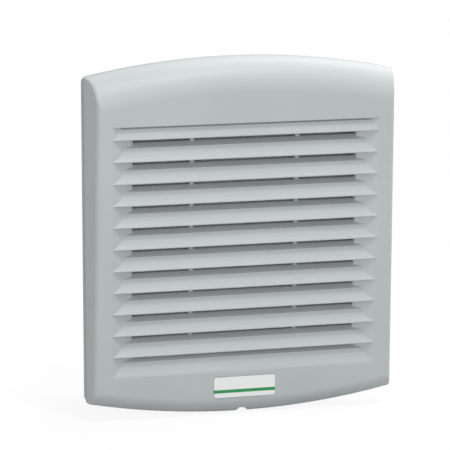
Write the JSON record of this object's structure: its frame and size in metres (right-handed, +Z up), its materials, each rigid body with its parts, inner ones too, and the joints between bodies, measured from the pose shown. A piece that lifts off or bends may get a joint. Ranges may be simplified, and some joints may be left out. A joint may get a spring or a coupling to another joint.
{
  "type": "cabinet filter fan",
  "caption": "Enclosure filter fan: louvred pull-off cover over a filter mat, a frame that snaps into a square panel cut-out, and a compact axial fan with finger guard.",
  "frame": {"origin": "centre of the square panel cut-out, on the outer face of the panel", "axes": "+X to the right seen from the front, +Y into the cabinet along the fan's axis, +Z up"},
  "size_m": [0.15, 0.0744, 0.1705],
  "materials": {
    "cover_plastic": "satin",
    "frame_plastic": "satin",
    "badge_plastic": "gloss",
    "grid_plastic": "satin",
    "gasket_foam": "matte",
    "filter_fleece": "matte",
    "fan_alloy": "satin",
    "impeller_plastic": "satin",
    "rotor_steel": "satin",
    "cage_alloy": "satin",
    "shaft_steel": "polished",
    "ring_steel": "satin",
    "bearing_steel": "polished",
    "cap_plastic": "matte",
    "core_steel": "matte",
    "liner_plastic": "satin",
    "winding_copper": "satin",
    "terminal_brass": "satin",
    "screw_steel": "satin",
    "guard_wire": "polished",
    "clip_steel": "satin"
  },
  "bodies": {
    "housing": {"base_frame": "frame_plastic", "support_grid": "grid_plastic", "flange_gasket": "gasket_foam", "filter_mat": "filter_fleece", "fan_housing": "fan_alloy", "stator_core": "core_steel", "slot_liners": "liner_plastic", "stator_windings": "winding_copper", "front_bearing": "bearing_steel", "rear_bearing": "bearing_steel", "bearing_cap": "cap_plastic", "terminal_carrier": "cap_plastic", "terminal_blades": "terminal_brass", "fan_screws": "screw_steel", "finger_guard": "guard_wire", "guard_screws": "screw_steel"},
    "cover": {"front_cover": "cover_plastic", "badge_plate": "badge_plastic"},
    "rotor": {"impeller": "impeller_plastic", "rotor_cup": "rotor_steel", "rotor_cage": "cage_alloy", "shaft": "shaft_steel", "retaining_ring": "ring_steel", "preload_washer": "ring_steel"},
    "clip_left_upper": {"clip_left_upper": "clip_steel"},
    "clip_left_lower": {"clip_left_lower": "clip_steel"},
    "clip_right_upper": {"clip_right_upper": "clip_steel"},
    "clip_right_lower": {"clip_right_lower": "clip_steel"}
  },
  "joints": [
    {"name": "cover_pull", "type": "slide", "parent": "housing", "child": "cover", "axis": [0, -1, 0], "range_m": [0, 0.04]},
    {"name": "fan_spin", "type": "hinge", "parent": "housing", "child": "rotor", "pos_m": [0, 0.03, 0], "axis": [0, 1, 0], "continuous": true},
    {"name": "left_upper_press", "type": "hinge", "parent": "housing", "child": "clip_left_upper", "pos_m": [-0.0611, 0.021, 0.032], "axis": [0, 0, 1], "range_deg": [0, 9], "stiffness_Nm_per_rad": 0.5},
    {"name": "left_lower_press", "type": "hinge", "parent": "housing", "child": "clip_left_lower", "pos_m": [-0.0611, 0.021, -0.032], "axis": [0, 0, 1], "range_deg": [0, 9], "stiffness_Nm_per_rad": 0.5},
    {"name": "right_upper_press", "type": "hinge", "parent": "housing", "child": "clip_right_upper", "pos_m": [0.0611, 0.021, 0.032], "axis": [0, 0, 1], "range_deg": [-9, 0], "stiffness_Nm_per_rad": 0.5},
    {"name": "right_lower_press", "type": "hinge", "parent": "housing", "child": "clip_right_lower", "pos_m": [0.0611, 0.021, -0.032], "axis": [0, 0, 1], "range_deg": [-9, 0], "stiffness_Nm_per_rad": 0.5}
  ]
}
